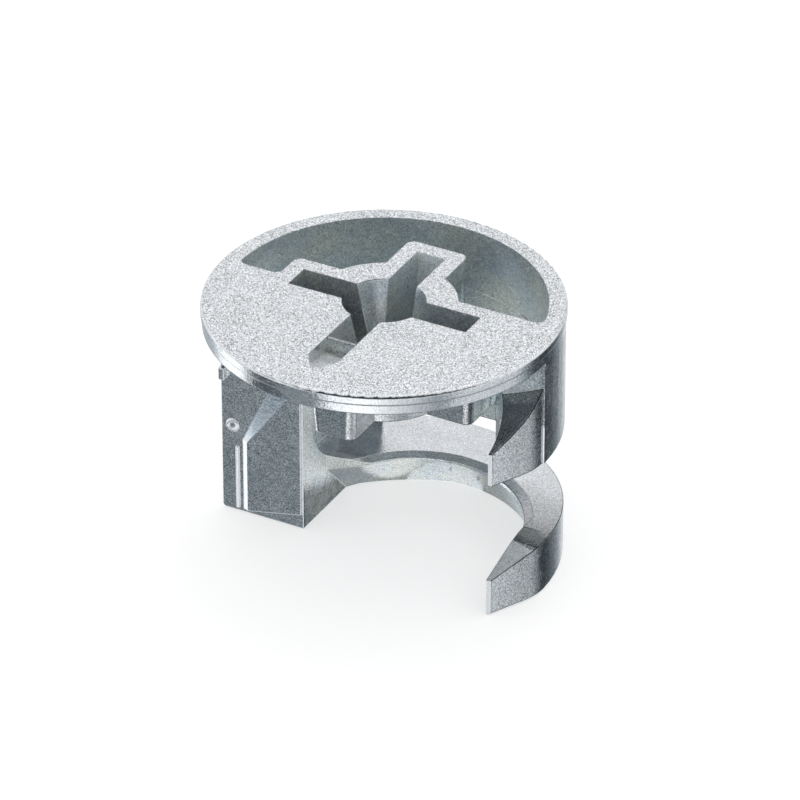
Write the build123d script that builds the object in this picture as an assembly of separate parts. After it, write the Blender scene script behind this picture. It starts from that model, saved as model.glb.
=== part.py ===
from build123d import *
import os
from math import cos, degrees, radians, sin

# Cam lock housing for flat-pack furniture: one zinc die casting that drops into a blind hole in
# the board. Its flange carries the driver recess and an arrow arm that shows where the bolt comes
# in. Millimetres, +Z up, origin on the turning axis at the bottom face, bolt entry towards -Y.
# Azimuths are degrees from +X, counter-clockwise seen from above.

# Hole and overall size
hole_dia = 15.0             # standard drilled hole
hole_clearance = 0.1        # radial play of the flange in the hole
body_relief = 0.05          # the body stands this far inside the flange
height = 11.7               # bottom face to top face
bolt_depth = 7.5            # bolt axis below the top face, for 15 mm board

# Flange
flange_t = 0.85             # thickness of the flange
rim_round = 0.12            # rounded top edge
parting_depth = 0.45        # parting step below the top face
rim_w = 0.7                 # rim and outer wall of the pocket
foot_chamfer = 0.1          # outer edge of the bottom face

# Driver recess: a cross with a cone at its centre
recess_depth = 3.35         # deep part, below the top face
arm_w = 1.3                 # width of the cross arms
arm_reach = 4.05            # axis to the end of the three short arms
cone_top = 1.72             # radius of the centre cone at the top face
cone_foot = 0.85            # radius of the centre cone at the recess floor
recess_draft = 3.0          # draft of the recess walls, degrees
long_arm_w = 1.35           # width of the long arrow arm
long_arm_deep = 3.5         # axis to the end of its deep part
long_arm_shoulder = 5.05    # axis to where it starts to point
long_arm_tip = 6.1          # axis to the tip of the arrow arm
arrow_round = 0.3           # rounding of its three corners
ramp_depth = 0.72           # shallow ramp at its deep end
ramp_tip_depth = 0.32       # shallow ramp at the tip
boss_wall = 0.7             # metal left round and under the recess
long_arm_wall = 0.5         # metal left beside the arrow arm
boss_round = 0.35           # vertical corners of the boss
boss_draft = 3.5            # draft of the boss walls, degrees
boss_lean = 0.4             # the arrow arm's boss reaches this much further
throat_r = 3.0              # boss radius between the arms

# Pocket behind the recess, open at the top
pocket_depth = 2.8          # down to the top of the upper cam arm
pocket_wall_depth = 4.65    # lower edge of its front wall, below the top face
pocket_left_y = -0.15       # front edge of the pocket over the post
pocket_round = 0.35         # corners of the pocket

# Cam track for the bolt neck
track_h = 3.95              # height of the neck track on the axis
floor_fall = 0.058          # fall of the track floor, mm per mm
floor_fall_az = 118.5       # direction in which the floor falls
track_start_az = -60.0      # the track is open from here, at the mouth
track_end_az = 119.0        # to here, where it stops breaking through the outer wall
cam_r0 = 6.57               # cam edge radius at azimuth 0
cam_rate = 0.0225           # closing of the cam edge, mm per degree
cam_bevel_w = 0.36          # bevel along the lower cam edge
cam_bevel_h = 0.17          # its drop
track_stop_r = 2.9          # rounded end of the track in the post
track_stop_y = 0.2          # front of the rounded end
track_stop_x = -4.7         # how far the end goes into the post
cam_start_az = 5.0          # where the cam edge starts, at the mouth
cam_mid_az = 88.0           # where the foot bore leaves the circle
cam_end_az = 128.0          # where the cam edge leaves the spiral, beside the post
heel_y = 1.45               # where the cam edge meets the post

# Mouth for the bolt head
post_face_y = -0.55         # front face of the post
post_wall_x = -3.5          # inner wall of the post
claw_tip_y = -2.6           # blunt ends of the claws
claw_flat_in = 0.56         # the flat lead-in faces of the claws lie this far inside the body
claw_flat_az = -26.9        # direction in which they face
claw_flat_round = 2.5       # smooth turn from them into the round wall
claw_tip_w = 0.17           # width of the blunt end of the upper claw
claw_bore_y = -2.3          # where the hollow inside it turns parallel to the bolt
claw_relief = 0.08          # the upper claw stands this far inside the body
claw_end_y = -0.06          # the relief and the scoop end here, at the full wall
claw_bore_r = 3.9           # hollow inside the upper claw
foot_bore_r = 5.6           # inside of the lower arm at the bottom face
foot_swell = 0.32           # it stands this much further out towards the mouth
foot_swell_az = 60.0        # where it does
foot_post_y = 3.45          # where the foot bore meets the post
foot_flatten = 0.55         # it draws in by this much before the post
foot_heel = 0.35            # blend of the foot bore into the post
knee_drop = 0.45            # from the track floor down to where the flare starts

# Lead-in of the claws
scoop_r = 9.0               # hollow on top of the upper claw
scoop_tip_depth = 4.05      # its depth at the tip, below the top face
scoop_tip_slope = 26.0      # its slope there
lead_slope = 17.5           # lead-in slope on top of the lower claw
lead_tip_drop = 0.575       # its drop at the tip, below the track floor on the axis
lead_round = 5.0            # smooth turn from the track floor into it

# Post details
panel_proud = 0.12          # raised panel on the front face of the post
panel_in_gap = 0.05         # its inner edge lies this far from the inner wall of the post
panel_out_x = -6.08         # outer edge of the panel
panel_step = 0.28           # sloped outer side of the panel
panel_low = 0.15            # lower edge above the bottom face, outer end
panel_low_in = 0.7          # lower edge above the bottom face, inner end
panel_knee = 3.5            # height at which its outer edge turns inwards
panel_apex = 6.95           # height at which that edge reaches the inner corner
slope_apex = 9.45           # height at which the foot of its wider slope would reach it
bead_x = -6.6               # bead beside the panel
bead_r = 0.08               # its radius
bead_top = 3.1              # its upper end
pin_x = -6.82               # ejector pin mark on the post
pin_z = 4.07                # its height
pin_ring = 0.22             # radius of its ring
pin_bead = 0.07             # half width of the ring
gate_x = -7.05              # stub of the casting gate at the outer edge of the post
gate_y = -0.82              # its front
gate_z = 6.3                # its lower end
gate_h = 0.55               # its height
nub_count = 4               # small nubs on the inner wall of the lower arm
nub_az = 69.0               # azimuth of the first
nub_step = 14.7             # degrees from one to the next
nub_w = 0.2                 # their width at the foot
nub_len = 0.16              # straight length of their sides
nub_proud = 0.07            # how far they stand out
nub_draft = 25.0            # draft of their sides, degrees
nub_share = 0.62            # height of their middle, as a share of the flare's

# Derived sizes
flange_r = hole_dia / 2 - hole_clearance
body_r = flange_r - body_relief
claw_flat_r = body_r - claw_flat_in
pocket_r = flange_r - body_relief - rim_w
top = height
flange_z = top - flange_t
bolt_z = top - bolt_depth
track_top = bolt_z + track_h / 2
track_floor = bolt_z - track_h / 2
boss_z = top - recess_depth - boss_wall
boss_half = arm_w / 2 + boss_wall
boss_reach = arm_reach + boss_wall
pocket_z = top - pocket_depth
wall_y0 = arm_w / 2
wall_y1 = boss_half
knee_z = track_floor - knee_drop
nub_z = nub_share * knee_z
OUT = 3 * body_r            # longer than anything it has to pass


def polar(r, az):
    return (r * cos(radians(az)), r * sin(radians(az)))


def cam_edge(inset, az0, az1, steps=6):
    """A stretch of the spiral cam edge between two azimuths."""
    azs = [az0 + (az1 - az0) * i / (steps - 1) for i in range(steps)]
    ends = [spiral_heading(inset, az0), spiral_heading(inset, az1)]
    return Spline([polar(cam_r0 - inset - cam_rate * a, a) for a in azs], tangents=ends)


def spiral_heading(inset, az):
    """Unit tangent of the spiral, so that its stretches join smoothly."""
    r = cam_r0 - inset - cam_rate * az
    dr = -degrees(cam_rate)
    a = radians(az)
    return Vector(dr * cos(a) - r * sin(a), dr * sin(a) + r * cos(a), 0).normalized()


def on_floor(point):
    """True for a point that lies on the falling floor of the neck track."""
    return abs(floor_plane.to_local_coords(point).Z) < 0.001


def prism(outline, z0, z1):
    """A closed outline drawn on the ground plane, raised from z0 to z1."""
    return Pos(0, 0, z0) * extrude(make_face(outline), amount=z1 - z0)


def slab(x0, x1, y0, y1, z0, z1):
    return Pos(x0, y0, z0) * Box(x1 - x0, y1 - y0, z1 - z0, align=(Align.MIN,) * 3)


def drum(r, z0, z1):
    return Pos(0, 0, z0) * Cylinder(r, z1 - z0, align=(Align.CENTER, Align.CENTER, Align.MIN))


def wall_plan(r):
    """Plan of the outer wall: a circle that runs smoothly into the flat lead-in faces of the claws."""
    plan = Circle(r) - Rot(0, 0, claw_flat_az) * Pos(claw_flat_r + OUT / 2, 0) * Rectangle(OUT, 2 * OUT)
    return fillet(plan.vertices().sort_by(Axis.Y)[-1], claw_flat_round)


# Flange with its rounded top edge and the parting step
flange_profile = Polyline(
    (0, flange_z), (body_r, flange_z), (body_r, top - parting_depth),
    (flange_r, top - parting_depth + body_relief), (flange_r, top - rim_round),
) + RadiusArc((flange_r, top - rim_round), (flange_r - rim_round, top), -rim_round) + Polyline(
    (flange_r - rim_round, top), (0, top), (0, flange_z)
)
flange = revolve(Plane.XZ * make_face(flange_profile), Axis.Z)

# Body wall: round, with the flat lead-in faces of the claws, less the mouth
body = extrude(wall_plan(body_r), amount=flange_z)
body = chamfer(body.edges().group_by(Axis.Z)[0], foot_chamfer)
mouth = slab(post_wall_x, OUT, -OUT, claw_tip_y, -1, flange_z)
mouth += slab(-OUT, post_wall_x, -OUT, post_face_y, -1, flange_z)
body -= mouth

# Cavity: the cam edge bounds it above, and below the edge its wall flares out to the foot bore
cam_in = cam_edge(cam_bevel_w, cam_start_az, cam_mid_az)
cam_back = cam_edge(cam_bevel_w, cam_mid_az, cam_end_az)
cam_a, cam_b = cam_in @ 0, cam_back @ 1
knee = cam_in + cam_back + Polyline(
    cam_b, (post_wall_x, heel_y), (post_wall_x, -OUT), (cam_a.X, -OUT), cam_a
)
foot_a = (cam_a.X, cam_a.Y)
foot_b = polar(foot_bore_r, cam_mid_az)
foot_c = (post_wall_x + foot_heel, foot_post_y + foot_heel / 2)
foot = ThreePointArc(foot_a, polar(foot_bore_r + foot_swell, foot_swell_az), foot_b)
foot += ThreePointArc(foot_b, polar(foot_bore_r - foot_flatten, (cam_mid_az + cam_end_az) / 2), foot_c)
foot += Polyline(
    foot_c, (post_wall_x, foot_post_y - foot_heel), (post_wall_x, -OUT), (cam_a.X, -OUT), foot_a
)
flare = loft([make_face(foot), Pos(0, 0, knee_z) * make_face(knee)], ruled=True)
cavity = prism(knee, knee_z, flange_z)

# Neck track: flat roof, floor falling to the back, rounded blind end inside the post
fall_x, fall_y = polar(floor_fall, floor_fall_az)
floor_plane = Plane(origin=(0, 0, track_floor), z_dir=(fall_x, fall_y, 1))
above_floor = floor_plane.location * Pos(0, 0, OUT / 2) * Box(4 * OUT, 4 * OUT, OUT)
fan = Polyline(polar(OUT, track_end_az), (0, 0), polar(OUT, track_start_az))
fan += CenterArc((0, 0), OUT, track_start_az, track_end_az - track_start_az)
track = prism(fan, 0, track_top) & above_floor
stop = slab(track_stop_x, 0, track_stop_y, OUT, 0, track_top) & above_floor
stop = fillet(stop.edges().filter_by(Axis.X, tolerance=5).group_by(Axis.Y)[0].sort_by(Axis.Z)[0], track_stop_r)
stop &= drum(pocket_r, 0, track_top)

body = body - flare - cavity - track - stop

# Bevel along the cam edge of the floor
floor_face = body.faces().filter_by(lambda f: on_floor(f.center())).sort_by(SortBy.AREA)[-1]
cam_edges = floor_face.edges().filter_by(GeomType.BSPLINE)
body = chamfer(cam_edges, cam_bevel_w, cam_bevel_h, reference=floor_face)

# Lead-in slope on top of the lower claw, rising from its tip
face_x, face_y = polar(1, claw_flat_az)
tip_x = (claw_flat_r - face_y * claw_tip_y) / face_x
lead_z = track_floor - lead_tip_drop
lead_plane = Plane(Pos(tip_x, claw_tip_y, lead_z) * Rot(0, 0, claw_flat_az) * Rot(lead_slope, 0, 0))
lead = lead_plane.location * Pos(0, 0, OUT / 2) * Box(2 * OUT, 2 * OUT, OUT)
crease = floor_plane.intersect(lead_plane)
across = Plane(crease.position, x_dir=floor_plane.z_dir + lead_plane.z_dir, z_dir=crease.direction)
turn = radians(floor_plane.z_dir.get_angle(lead_plane.z_dir)) / 2
start = (lead_round * (cos(turn) - 1 / cos(turn)), lead_round * sin(turn))
end = (start[0], -start[1])
bow = Polyline(start, (0, 0), end) + ThreePointArc(end, (lead_round * (1 - 1 / cos(turn)), 0), start)
lead += extrude(across * make_face(bow), amount=OUT, both=True)
body -= lead & slab(0, OUT, -OUT, wall_y0, 0, bolt_z)

# Upper claw: solid behind its flat face, hollowed for the bolt head, scooped from above
claw_zone = slab(0, OUT, -OUT, wall_y0, track_top, flange_z)
bore_x = tip_x - claw_tip_w - claw_bore_r
hollow = Pos(bore_x, claw_bore_y, 0) * drum(claw_bore_r, 0, top)
hollow += slab(0, bore_x, -OUT, wall_y0, 0, top)
hollow += slab(0, bore_x + claw_bore_r, -OUT, claw_bore_y, 0, top)
scoop_y, scoop_z = polar(scoop_r, 90 + scoop_tip_slope)
scoop = Pos(tip_x, claw_tip_y, top - scoop_tip_depth) * Rot(0, 0, claw_flat_az)
scoop = scoop * Pos(0, scoop_y, scoop_z) * Rot(0, 90, 0) * Cylinder(scoop_r, 2 * OUT)
claw = (claw_zone & extrude(wall_plan(body_r), amount=top)) - mouth
relief = drum(OUT, 0, top) - extrude(wall_plan(body_r - claw_relief), amount=top)
scoop_zone = slab(0, OUT, -OUT, claw_end_y, track_top, flange_z)
body = body + claw - (hollow & claw_zone) - (scoop & scoop_zone) - (relief & scoop_zone)

# Wall in front of the pocket, from the boss to the outer wall
wall = slab(arm_reach, OUT, wall_y0, wall_y1, top - pocket_wall_depth, flange_z)
wall &= drum(body_r, 0, top)

# Boss round the recess, drafted towards its lower end
long_reach = long_arm_deep + boss_wall + boss_lean
boss_plan = Rectangle(2 * boss_reach, 2 * boss_half)
boss_plan += Pos(0, boss_reach / 2) * Rectangle(2 * boss_half, boss_reach)
boss_plan += Pos(0, -long_reach / 2) * Rectangle(long_arm_w + 2 * long_arm_wall, long_reach)
boss = Pos(0, 0, top) * extrude(boss_plan, amount=-(top - boss_z), taper=boss_draft)
uprights = boss.edges().filter_by(lambda e: abs((e @ 1 - e @ 0).Z) > boss_wall)
boss = fillet(uprights.filter_by(lambda e: Vector((e @ 0.5).X, (e @ 0.5).Y).length > throat_r), boss_round)
boss += Pos(0, 0, top) * extrude(Circle(throat_r), amount=-(top - boss_z), taper=boss_draft)
tips = boss_plan.vertices().filter_by(lambda v: v.center().length > throat_r)
boss_plan = fillet(tips, boss_round) + Circle(throat_r)

# Pocket behind the boss, open at the top and down into the cavity
pocket_plan = Pos(OUT / 2, wall_y1 + OUT / 2) * Rectangle(OUT, OUT)
pocket_plan += Pos(-OUT / 2, pocket_left_y + OUT / 2) * Rectangle(OUT, OUT)
pocket_plan = (pocket_plan & Circle(pocket_r)) - boss_plan
pocket_ends = pocket_plan.vertices().sort_by(Axis.Y)[:2] + pocket_plan.vertices().sort_by(Axis.X)[-1:]
pocket_plan = fillet(pocket_ends, pocket_round)
pocket = Pos(0, 0, pocket_z) * extrude(pocket_plan, amount=pocket_depth)

# Recess: drafted cross, centre cone, and the arrow arm with its shallow ramp
cross = Rectangle(2 * arm_reach, arm_w)
cross += Pos(0, arm_reach / 2) * Rectangle(arm_w, arm_reach)
cross += Pos(0, -long_arm_deep / 2) * Rectangle(long_arm_w, long_arm_deep)
recess = Pos(0, 0, top) * extrude(cross, amount=-recess_depth, taper=recess_draft)
recess += Pos(0, 0, top - recess_depth / 2) * Cone(cone_foot, cone_top, recess_depth)
half = long_arm_w / 2
arrow = Polyline((half, 0), (-half, 0), (-half, -long_arm_shoulder), (0, -long_arm_tip),
                 (half, -long_arm_shoulder), (half, 0))
arrow_plan = make_face(arrow)
arrow_plan = fillet(arrow_plan.vertices().sort_by(Axis.Y)[:3], arrow_round)
ramp = Plane.YZ * Polyline(
    (-long_arm_deep, top - ramp_depth), (-long_arm_tip, top - ramp_tip_depth),
    (-long_arm_tip, top), (-long_arm_deep, top), (-long_arm_deep, top - ramp_depth)
)
ramp = extrude(make_face(ramp), amount=OUT, both=True)
recess += extrude(arrow_plan, amount=top) & ramp

# Raised panel on the front face of the post, with a sloped outer side
front = Plane(origin=(0, post_face_y, 0), x_dir=(1, 0, 0), z_dir=(0, -1, 0))
panel_in = post_wall_x - panel_in_gap
panel_foot = front * Polyline(
    (panel_in, panel_low_in), (panel_out_x - panel_step, panel_low),
    (panel_out_x - panel_step, panel_knee), (panel_in, slope_apex), (panel_in, panel_low_in)
)
panel_face = front * Pos(0, 0, panel_proud) * Polyline(
    (panel_in, panel_low_in), (panel_out_x, panel_low), (panel_out_x, panel_knee),
    (panel_in, panel_apex), (panel_in, panel_low_in)
)
panel = loft([make_face(panel_foot), make_face(panel_face)], ruled=True)

# Bead beside the panel, ring of an ejector pin and stub of the gate on the post
bead = Pos(bead_x, post_face_y, panel_low) * Cylinder(
    bead_r, bead_top - panel_low, align=(Align.CENTER, Align.CENTER, Align.MIN))
bead += front * Pos(pin_x, pin_z, 0) * Torus(pin_ring, pin_bead)
bead += slab(-OUT, gate_x, gate_y, post_face_y, gate_z, gate_z + gate_h) & drum(body_r, 0, top)

# Small drafted nubs on the inner wall of the lower arm
nub = extrude(SlotCenterToCenter(nub_len, nub_w), amount=2 * nub_proud, taper=nub_draft)
nub = fillet(nub.faces().sort_by(Axis.Z)[-1].edges(), nub_proud / 3)
nubs = []
for i in range(nub_count):
    look = Axis((0, 0, nub_z), (*polar(1, nub_az + i * nub_step), 0))
    place, outward = flare.find_intersection_points(look)[-1]
    nubs.append(Plane(place, x_dir=(0, 0, 1), z_dir=-outward) * Pos(0, 0, -nub_proud) * nub)

housing = body + flange + wall + boss + panel + bead - pocket - recess + nubs
os.makedirs("parts", exist_ok=True)
export_step(housing, "parts/cam_housing.step")
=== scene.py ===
import math

import bpy
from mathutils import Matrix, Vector


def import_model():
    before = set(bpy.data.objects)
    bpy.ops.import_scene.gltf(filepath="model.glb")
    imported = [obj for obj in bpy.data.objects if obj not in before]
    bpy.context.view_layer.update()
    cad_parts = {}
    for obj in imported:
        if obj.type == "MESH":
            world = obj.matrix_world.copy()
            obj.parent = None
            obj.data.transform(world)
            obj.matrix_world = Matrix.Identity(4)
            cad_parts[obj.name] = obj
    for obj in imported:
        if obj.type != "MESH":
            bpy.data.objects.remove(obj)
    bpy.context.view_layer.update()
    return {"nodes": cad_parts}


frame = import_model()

# Furniture cam lock, a zinc die casting. Metres, in the frame of the CAD part: +Z up the turning
# axis, bolt entry towards -Y. Sizes of details are given in millimetres and turned with MM.
MM = 0.001

# Camera
PLAN_TURN = 28.5                         # it looks along +Y turned by this much, degrees
CAM_POS = (102.465, -188.717, 139.711)   # mm
CAM_AIM = (1.5536, -1.5257, 8.2717)      # mm, the point in the middle of the picture
CAM_LENS = 279.675                       # mm
CAM_SENSOR = 36                          # mm
CAM_CLIP = (0.01, 20)                    # m

# Colours, linear
WHITE = (0.985, 0.99, 1.0, 1)
SILVER = (0.945, 0.972, 1.0, 1)          # bright zinc
BANK_REFLECTION = (0.70, 0.86, 1.0, 1)         # a painted blue reflection on the slope beside the panel of the post
HOLLOW_BLUE = (0.85, 0.945, 1.0, 1)      # the hollows, in patches of the one and the other
HOLLOW_OLIVE = (0.935, 0.98, 0.945, 1)


# Zones of the surface

FLAT_AZ = math.radians(-26.9)                        # the flat faces of the claws look this way
OUT = (math.cos(FLAT_AZ), math.sin(FLAT_AZ), 0)      # square to those faces
ALONG = (math.sin(FLAT_AZ), -math.cos(FLAT_AZ), 0)   # along them, towards the tips of the claws
RIB_X = -6.6                                         # the middle of the ribs on the post, mm

# A zone is where each of its quantities is past its border, given as the quantity and its values
# outside and inside. Places are in mm: x, y, z, radius, off_axis and off_rib (how far x is from
# the axis and from RIB_X), facing and reach (along OUT and ALONG). side, front, up and tip are
# parts of the surface's direction, and turned is the cosine of how far the rounding of an edge
# turns it. spark is a tone of the cells of the grain, and mottle one of the noises over them.
BELOW_RIM = ("z", 10.80, 10.70)
IN_TRACK = ("z", 2.90, 2.70)
BEHIND_FLATS = ("facing", 6.74, 6.66)
ZONES = {
    "on_top": (("z", 11.60, 11.66), ("up", 0.80, 0.95)),
    # The rim of the flange: painted lighter, a painted highlight, and made smoother
    "rim": (("radius", 7.20, 7.25), ("z", 10.83, 10.87)),
    "below_rim": (BELOW_RIM,),
    # The hollows: the pocket and the bore behind, and the recess, painted a little lighter with
    # painted light
    "hollow": (("radius", 7.20, 7.05), BEHIND_FLATS),
    "behind": (("y", -0.50, -0.40),),
    "recess": (("off_axis", 0.76, 0.70), ("z", 8.20, 8.30), ("y", -4.20, -4.00)),
    # Walls of the recess painted lighter where light falls on them, painted light, and made
    # rougher:
    # the sides of two arms, the end of the far one and the ramp of the long one
    "arm_side": (("side", 0.70, 0.80),),
    "arm_end": (("front", -0.70, -0.80), ("y", 1.40, 1.60), ("y", 4.80, 4.60)),
    "arm_ramp": (("up", 0.25, 0.35), ("y", -3.60, -3.80)),
    "arms": (("off_axis", 1.00, 0.90), ("z", 7.60, 7.80)),
    # The claws: the scoop in the upper one, the floor of the track, how near that is to the mouth,
    # the lead-in slope, the roots of the flat faces and the blunt ends. Painted shade darkens the
    # scoop, the floor of the track near the mouth and the roots of the flat faces.
    "scoop": (BEHIND_FLATS, ("up", 0.10, 0.25), ("x", 3.00, 3.40), BELOW_RIM,
              ("z", 7.20, 7.40), ("y", 0.30, 0.10)),
    "track": (("up", 0.30, 0.45), IN_TRACK),
    "near_track": (("y", 4.50, 0.50),),
    "slope": (("up", 0.985, 0.970), ("up", 0.20, 0.30), ("reach", -3.00, -2.60), IN_TRACK,
              ("x", 2.00, 2.40)),
    "root": (("reach", -0.80, -2.90), ("reach", -3.70, -3.10), ("facing", 6.66, 6.74), BELOW_RIM),
    "blunt": (("tip", 0.45, 0.55), ("facing", 6.40, 6.50), ("z", 8.00, 7.80)),
    # Edges, and the sides on which they are painted: with a pale highlight towards -x, with dark
    # shade towards +x
    "edge": (("turned", 0.999, 0.950),),
    "lit_side": (("x", 0.00, -1.00),),
    "shaded_side": (("x", 3.00, 3.50),),
    # Painted glints in the pocket: bright grains that stand in for sparkles of light
    "glint": (("spark", 0.90, 0.96), ("mottle", 0.00, 0.08), ("z", 7.30, 7.60),
              ("x", 1.40, 3.00)),
    # The post: the slope beside its panel, painted with a blue reflection, and the flanks and the
    # crest of its ribs and ring, painted with a highlight
    "bank": (("up", 0.03, 0.06), ("front", -0.90, -0.94), ("x", -3.50, -3.60), BELOW_RIM),
    "rib_flank": (("front", -0.97, -0.93),),
    "rib_crest": (("off_rib", 0.10, 0.09),),
    "rib_place": (("y", -0.555, -0.575), ("x", -5.70, -5.90), ("z", 5.20, 5.00)),
}
ARM_SIDE_SHARE = 0.3

# What the masks add to a base: to the brightness, to the strength of the grain in it, to the
# metallic share and to the roughness
LEVEL_BASE = 0.68
# In the brightness, painted shade darkens the scoop, the floor of the track near the mouth, the
# roots of the flat faces and the edges towards +x; painted highlights and painted light brighten
# the edges towards -x, the blunt ends, the rim, the ribs and ring of the post, the glints in the
# pocket, the lit walls of the recess and, a little, the hollows.
LEVEL = {"on_top": -0.01, "rim": 0.14, "scoop": -0.40, "lead": -0.40, "inside": 0.06,
         "lit_edge": 0.42, "root": -0.22, "glint": 0.90, "ribs": 0.30, "lit_wall": 0.12, "shaded_edge": -0.60}
DEPTH_BASE = 1.15
DEPTH = {"on_top": 0.60, "inside": -0.15, "rim": -0.70, "lit_edge": -0.60, "groove": -0.60,
         "smooth": -0.80}
METAL_BASE = 1.0
METAL = {"inside": -0.18, "lit_wall": -0.50, "glint": -0.70, "ribs": -0.45, "slope": -0.45,
         "lit_edge": -0.60}
ROUGH_BASE = 0.17
ROUGH = {"mottle": 0.30, "cloud": 0.20, "dull": 0.09, "on_top": 0.18, "rim": -0.06,
         "edge": -0.08, "lit_wall": 0.25}
ROUGH_LEAST = 0.07

# Grain: fine cells with a tone and a tilt each, and softer noises over them
CELL_SCALE = 33.0               # per mm, as the first number of each noise
GRAIN = (10.0, 1.5, 0.55)       # scale, detail, roughness
MOTTLE = (3.6, 3.0, 0.62)
CLOUD = (0.55, 3.0, 0.55)
GRAIN_SHARE = 0.15              # what each adds to the tone; the others off the top face and on it
MOTTLE_SHARE = (0.25, 0.12)
CLOUD_SHARE = (0.35, 0.25)
OLIVE_CLOUD = (-0.10, 0.10)     # the cloud between which the hollows turn from blue to olive
BANK_SHARE = 0.7                # of its own painted blue reflection
EDGE_RADIUS = 0.07              # mm
EDGE_SAMPLES = 8
CELL_TILT = 0.07
HEIGHT = {"grain": 0.45, "mottle": 0.60}
BUMP = (0.8, 0.014)             # strength, and distance in mm


# Nodes

class Tree:
    """A node tree with short calls: a link is made where an input is given a socket."""

    def __init__(self, tree):
        self.tree = tree
        tree.nodes.clear()

    def add(self, kind, inputs=(), out=0, **props):
        node = self.tree.nodes.new(kind)
        for key, value in props.items():
            setattr(node, key, value)
        for key, value in dict(inputs).items():
            self.put(node.inputs[key], value)
        return node.outputs[out] if len(node.outputs) else node

    def put(self, socket, value):
        if isinstance(value, bpy.types.NodeSocket):
            self.tree.links.new(value, socket)
        else:
            socket.default_value = value

    def parts(self, vector):
        node = self.tree.nodes.new("ShaderNodeSeparateXYZ")
        self.put(node.inputs[0], vector)
        return list(node.outputs)

    def math(self, operation, a, b=0.0, c=0.0, clamp=False):
        return self.add("ShaderNodeMath", {0: a, 1: b, 2: c}, operation=operation, use_clamp=clamp)

    def vector(self, operation, a, b=(0, 0, 0), out=0, scale=1.0):
        node = self.tree.nodes.new("ShaderNodeVectorMath")
        node.operation = operation
        self.put(node.inputs[0], a)
        self.put(node.inputs[1], b)
        node.inputs[3].default_value = scale
        return node.outputs[out]

    def dot(self, a, b):
        return self.vector("DOT_PRODUCT", a, b, out="Value")

    def product(self, first, *others):
        for other in others:
            first = self.math("MULTIPLY", first, other)
        return first

    def most(self, first, *others):
        for other in others:
            first = self.math("MAXIMUM", first, other)
        return first

    def rest(self, share):
        """What a share leaves of 1."""
        return self.math("SUBTRACT", 1.0, share)

    def weigh(self, base, weights, masks):
        """A base plus each named mask times its weight."""
        for name, weight in weights.items():
            base = self.math("MULTIPLY_ADD", masks[name], weight, base)
        return base

    def noise(self, at, scale, detail, rough):
        """Noise about zero."""
        noise = self.add("ShaderNodeTexNoise", {
            "Vector": at, "Scale": scale, "Detail": detail, "Roughness": rough})
        return self.math("SUBTRACT", noise, 0.5)

    def span(self, value, low, high, to_low=0.0, to_high=1.0):
        """A value from low to high, mapped and held between two others."""
        return self.add("ShaderNodeMapRange", {
            "Value": value, "From Min": low, "From Max": high,
            "To Min": to_low, "To Max": to_high})

    def mix(self, share, a, b):
        node = self.tree.nodes.new("ShaderNodeMix")
        node.data_type = "RGBA"
        self.put(node.inputs["Factor"], share)
        self.put(node.inputs["A"], a)
        self.put(node.inputs["B"], b)
        return node.outputs["Result"]


# The casting

def quantities(t, at, flat, soft):
    """What the borders of the zones are measured by, from the place and the direction."""
    x, y, z = t.parts(at)
    side, front, up = t.parts(flat)
    return {
        "x": x, "y": y, "z": z, "side": side, "front": front, "up": up,
        "radius": t.vector("LENGTH", t.add("ShaderNodeCombineXYZ", {0: x, 1: y}), out="Value"),
        "off_axis": t.math("ABSOLUTE", x),
        "off_rib": t.math("ABSOLUTE", t.math("SUBTRACT", x, RIB_X)),
        "facing": t.dot(at, OUT), "reach": t.dot(at, ALONG), "tip": t.dot(flat, ALONG),
        "turned": t.dot(soft, flat)}


def zone_masks(t, seen):
    """The masks that the weights name, from those of the zones."""
    m = {name: t.product(*(t.span(seen[what], *border) for what, *border in borders))
         for name, borders in ZONES.items()}
    off_top = t.rest(m["on_top"])
    m["rim"] = t.product(m["rim"], off_top)
    m["inside"] = t.product(
        m["hollow"], t.most(m["behind"], m["recess"]), off_top, t.rest(m["track"]))
    # Walls of the recess painted lighter where light falls on them: painted light
    lit_wall = t.most(t.math("MULTIPLY", m["arm_side"], ARM_SIDE_SHARE), m["arm_end"], m["arm_ramp"])
    m["lit_wall"] = t.product(lit_wall, m["arms"], off_top)
    # The floor of the track near the mouth: painted shade
    m["lead"] = t.product(m["track"], t.rest(m["slope"]), m["near_track"])
    m["groove"] = t.math("SUBTRACT", m["track"], m["lead"])
    m["edge"] = t.product(m["edge"], off_top)
    low_edge = t.product(m["edge"], m["below_rim"])
    # Edges below the rim towards -x, and the blunt ends: painted highlight
    m["lit_edge"] = t.most(t.product(low_edge, m["lit_side"]), m["blunt"])
    # Edges below the rim towards +x: painted shade
    m["shaded_edge"] = t.product(low_edge, m["shaded_side"], t.rest(m["blunt"]))
    # Painted glints in the pocket
    m["glint"] = t.product(m["glint"], m["inside"])
    # The ribs and ring of the post: painted highlight
    m["ribs"] = t.product(t.most(m["rib_flank"], m["rib_crest"]), m["rib_place"])
    m["smooth"] = t.most(m["bank"], m["ribs"])
    m["dull"] = t.most(m["inside"], m["scoop"])
    return m


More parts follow.
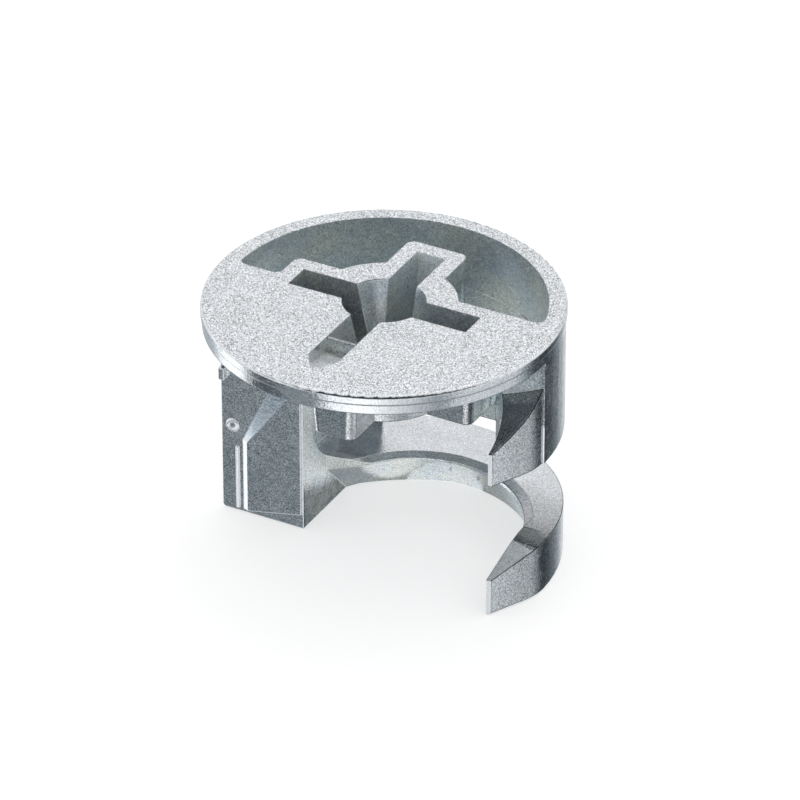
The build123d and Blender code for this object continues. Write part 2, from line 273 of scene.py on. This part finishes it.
def cast_zinc():
    """Bright die-cast zinc: satin grain on top, glossier on the sides, dull in the hollows, with
    painted shade and painted highlights in places.
    """
    mat = bpy.data.materials.new("cast_zinc")
    mat.use_nodes = True
    t = Tree(mat.node_tree)
    at = t.vector("SCALE", t.add("ShaderNodeTexCoord", out="Object"), scale=1 / MM)
    flat = t.add("ShaderNodeNewGeometry", out="True Normal")
    soft = t.add("ShaderNodeBevel", {"Radius": EDGE_RADIUS * MM}, samples=EDGE_SAMPLES)
    cell = t.add("ShaderNodeTexVoronoi", {"Vector": at, "Scale": CELL_SCALE}, out="Color")
    cell_tone, spark, _ = t.parts(cell)
    noises = {"grain": t.noise(at, *GRAIN), "mottle": t.noise(at, *MOTTLE),
              "cloud": t.noise(at, *CLOUD)}
    seen = quantities(t, at, flat, soft)
    masks = zone_masks(t, {**seen, **noises, "spark": spark})
    masks.update(noises)

    # Colour
    on_top = masks["on_top"]
    speck = t.math("SUBTRACT", cell_tone, 0.5)
    fine = t.math("MULTIPLY_ADD", noises["grain"], GRAIN_SHARE, speck)
    tone = t.product(fine, t.weigh(DEPTH_BASE, DEPTH, masks))
    for name, share in (("mottle", MOTTLE_SHARE), ("cloud", CLOUD_SHARE)):
        tone = t.math("MULTIPLY_ADD", noises[name], t.span(on_top, 0.0, 1.0, *share), tone)
    level = t.weigh(LEVEL_BASE, LEVEL, masks)
    value = t.math("MULTIPLY", level, t.math("ADD", 1.0, tone), clamp=True)
    hollow = t.mix(t.span(noises["cloud"], *OLIVE_CLOUD), HOLLOW_BLUE, HOLLOW_OLIVE)
    hue = t.mix(masks["dull"], SILVER, hollow)
    # The slope beside the post's panel: painted blue reflection
    hue = t.mix(t.math("MULTIPLY", masks["bank"], BANK_SHARE), hue, BANK_REFLECTION)

    # Gloss
    metal = t.span(t.weigh(METAL_BASE, METAL, masks), 0.0, 1.0)
    rough = t.most(t.weigh(ROUGH_BASE, ROUGH, masks), ROUGH_LEAST)

    # Relief
    tilt = t.vector("SCALE", t.vector("SUBTRACT", cell, (0.5, 0.5, 0.5)), scale=CELL_TILT)
    strength, distance = BUMP
    bump = t.add("ShaderNodeBump", {
        "Strength": strength, "Distance": distance * MM, "Height": t.weigh(0.0, HEIGHT, noises),
        "Normal": t.vector("NORMALIZE", t.vector("ADD", soft, tilt))})

    shader = t.add("ShaderNodeBsdfPrincipled", {
        "Base Color": t.vector("MULTIPLY", hue, value), "Roughness": rough, "Normal": bump,
        "Metallic": metal})
    t.add("ShaderNodeOutputMaterial", {"Surface": shader})
    return mat


# Studio

# Tones of the cards that the gloss mirrors below the horizon, by direction in degrees
# counter-clockwise from the right of the picture
CARD_TONES = (
    (0, 0.70), (8, 0.40), (18, 0.06), (40, 0.06), (56, 0.28), (74, 0.85), (94, 0.90),
    (108, 0.50), (132, 0.50), (150, 1.30), (168, 1.40), (178, 0.10), (198, 0.10), (206, 0.27),
    (226, 0.27), (238, 1.20), (258, 1.40), (278, 0.80), (306, 0.33), (320, 0.70))
CARD_GAIN = 1.4                 # the ramp holds no tone above 1, so it holds them divided by this
CARD_TINT = (0.98, 1.0, 1.02)
CARD_COLD = (-0.20, 0.0, 0.09)  # what a black card adds to that tint
CARD_COLD_FROM = 0.8            # the tone below which a card turns cold
CARD_LOW = (-0.76, -0.64)       # heights of the direction between which the cards begin
CARD_HIGH = (-0.49, -0.36)      # those between which they turn into haze
HORIZON = (-0.06, 0.10)         # and those between which the haze turns white
HAZE = 0.75                     # the share of white in it
UNDER = (0.30, 0.315, 0.325, 1)     # the shaded floor right below
DARK = (0.14, 0.155, 0.17, 1)       # the room behind the camera
DARK_TOP = (0.032, 0.042, 0.05, 1)  # and above it
DARK_FADE = (0.42, 0.62)        # heights between which the one turns into the other
DARK_LOW = (0.06, 0.16)         # heights of its lower and its upper edge
DARK_HIGH = (0.985, 0.93)
DARK_SIDE = (-0.10, 0.45)       # cosines of the turns from the camera to its sides

FLOOR_SIZE = 3.0                # m
FLOOR_Z = -0.05                 # mm
FLOOR_MATT = (0.55, 0.55, 0.55, 1)
FLOOR_GLOW = 0.55
NEAR_FLOOR = ((-0.4, 7.12, 2.6), (-1.35, 3.35, 1.22))   # x, y and radius of its patches, mm
NEAR_FLOOR_Z = -0.04            # mm
NEAR_FLOOR_SIDES = 48
NEAR_FLOOR_GLOW = 0.95

KEY_POS = (-0.10, 0.22, 0.30)   # m
KEY_AIM = (0, 0, 0.006)         # m
KEY_SIZE = 0.22                 # m
KEY_POWER = 0.04                # W


def floor():
    mat = bpy.data.materials.new("floor")
    mat.use_nodes = True
    t = Tree(mat.node_tree)
    matt = t.add("ShaderNodeBsdfDiffuse", {"Color": FLOOR_MATT})
    glow = t.add("ShaderNodeEmission", {"Strength": FLOOR_GLOW})
    both = t.add("ShaderNodeAddShader", {0: matt, 1: glow})
    t.add("ShaderNodeOutputMaterial", {"Surface": both})
    bpy.ops.mesh.primitive_plane_add(size=FLOOR_SIZE, location=(0, 0, FLOOR_Z * MM))
    ground = bpy.context.object
    ground.name = "floor"
    ground.data.materials.append(mat)
    ground.visible_glossy = False


def near_floor():
    """The pale floor close behind the part and in its bore, seen in the gloss alone."""
    mat = bpy.data.materials.new("near_floor")
    mat.use_nodes = True
    t = Tree(mat.node_tree)
    t.add("ShaderNodeOutputMaterial", {
        "Surface": t.add("ShaderNodeEmission", {"Color": WHITE, "Strength": NEAR_FLOOR_GLOW})})
    for i, (x, y, radius) in enumerate(NEAR_FLOOR):
        bpy.ops.mesh.primitive_circle_add(
            vertices=NEAR_FLOOR_SIDES, radius=radius * MM, fill_type="NGON",
            location=(x * MM, y * MM, NEAR_FLOOR_Z * MM))
        patch = bpy.context.object
        patch.name = "near_floor_%d" % i
        patch.data.materials.append(mat)
        patch.visible_camera = patch.visible_diffuse = patch.visible_shadow = False


def card_colour(tone):
    """The colour of a card in the ramp: neutral where it is bright, colder where it is dark."""
    cold = max(0.0, 1 - tone / CARD_COLD_FROM)
    return [min(1.0, tone / CARD_GAIN * (tint + cold * more))
            for tint, more in zip(CARD_TINT, CARD_COLD)] + [1]


def world():
    """White to the eye; the gloss sees the cards and the dark room in it too."""
    studio = bpy.context.scene.world or bpy.data.worlds.new("studio")
    bpy.context.scene.world = studio
    studio.use_nodes = True
    t = Tree(studio.node_tree)
    way = t.vector("NORMALIZE", t.add("ShaderNodeTexCoord", out="Generated"))
    x, y, height = t.parts(way)

    turn = t.add("ShaderNodeTexGradient", {"Vector": way}, gradient_type="RADIAL", out="Fac")
    ramp = t.tree.nodes.new("ShaderNodeValToRGB")
    t.put(ramp.inputs[0], turn)
    stops = sorted((((az + PLAN_TURN) / 360 + 0.5) % 1, tone) for az, tone in CARD_TONES)
    bar = ramp.color_ramp.elements
    for i, (at, tone) in enumerate(stops):
        stop = bar[i] if i < 2 else bar.new(at)     # a new ramp has two stops
        stop.position = at
        stop.color = card_colour(tone)
    cards = t.vector("SCALE", ramp.outputs[0], scale=CARD_GAIN)
    haze = t.mix(t.span(height, *HORIZON), t.mix(HAZE, cards, WHITE), WHITE)
    tone = t.mix(t.span(height, *CARD_HIGH), cards, haze)
    tone = t.mix(t.span(height, *CARD_LOW), UNDER, tone)

    level = t.vector("NORMALIZE", t.add("ShaderNodeCombineXYZ", {0: x, 1: y}))
    eye = Vector(CAM_POS) - Vector(CAM_AIM)
    eye = Vector((eye.x, eye.y, 0)).normalized()
    dark = t.product(t.span(t.dot(level, tuple(eye)), *DARK_SIDE),
                     t.span(height, *DARK_LOW), t.span(height, *DARK_HIGH))
    tone = t.mix(dark, tone, t.mix(t.span(height, *DARK_FADE), DARK, DARK_TOP))

    glossy = t.add("ShaderNodeLightPath", out="Is Glossy Ray")
    sky = t.add("ShaderNodeBackground", {"Color": t.mix(glossy, WHITE, tone), "Strength": 1.0})
    t.add("ShaderNodeOutputWorld", {"Surface": sky})


def put_in_scene(name, data, place, aim):
    thing = bpy.data.objects.new(name, data)
    bpy.context.scene.collection.objects.link(thing)
    thing.location = place
    thing.rotation_mode = "QUATERNION"
    thing.rotation_quaternion = (aim - place).to_track_quat("-Z", "Y")
    return thing


def key_light():
    data = bpy.data.lights.new("key", "AREA")
    data.shape = "RECTANGLE"
    data.size = data.size_y = KEY_SIZE
    data.energy = KEY_POWER
    put_in_scene("key", data, Vector(KEY_POS), Vector(KEY_AIM))


def camera():
    data = bpy.data.cameras.new("photo")
    data.sensor_width = CAM_SENSOR
    data.lens = CAM_LENS
    data.clip_start, data.clip_end = CAM_CLIP
    bpy.context.scene.camera = put_in_scene(
        "photo", data, Vector(CAM_POS) * MM, Vector(CAM_AIM) * MM)


camera()
world()
floor()
near_floor()
key_light()

housing = frame["nodes"]["cam_housing"]
housing.data.materials.clear()
housing.data.materials.append(cast_zinc())

bpy.context.scene.view_settings.view_transform = "Standard"
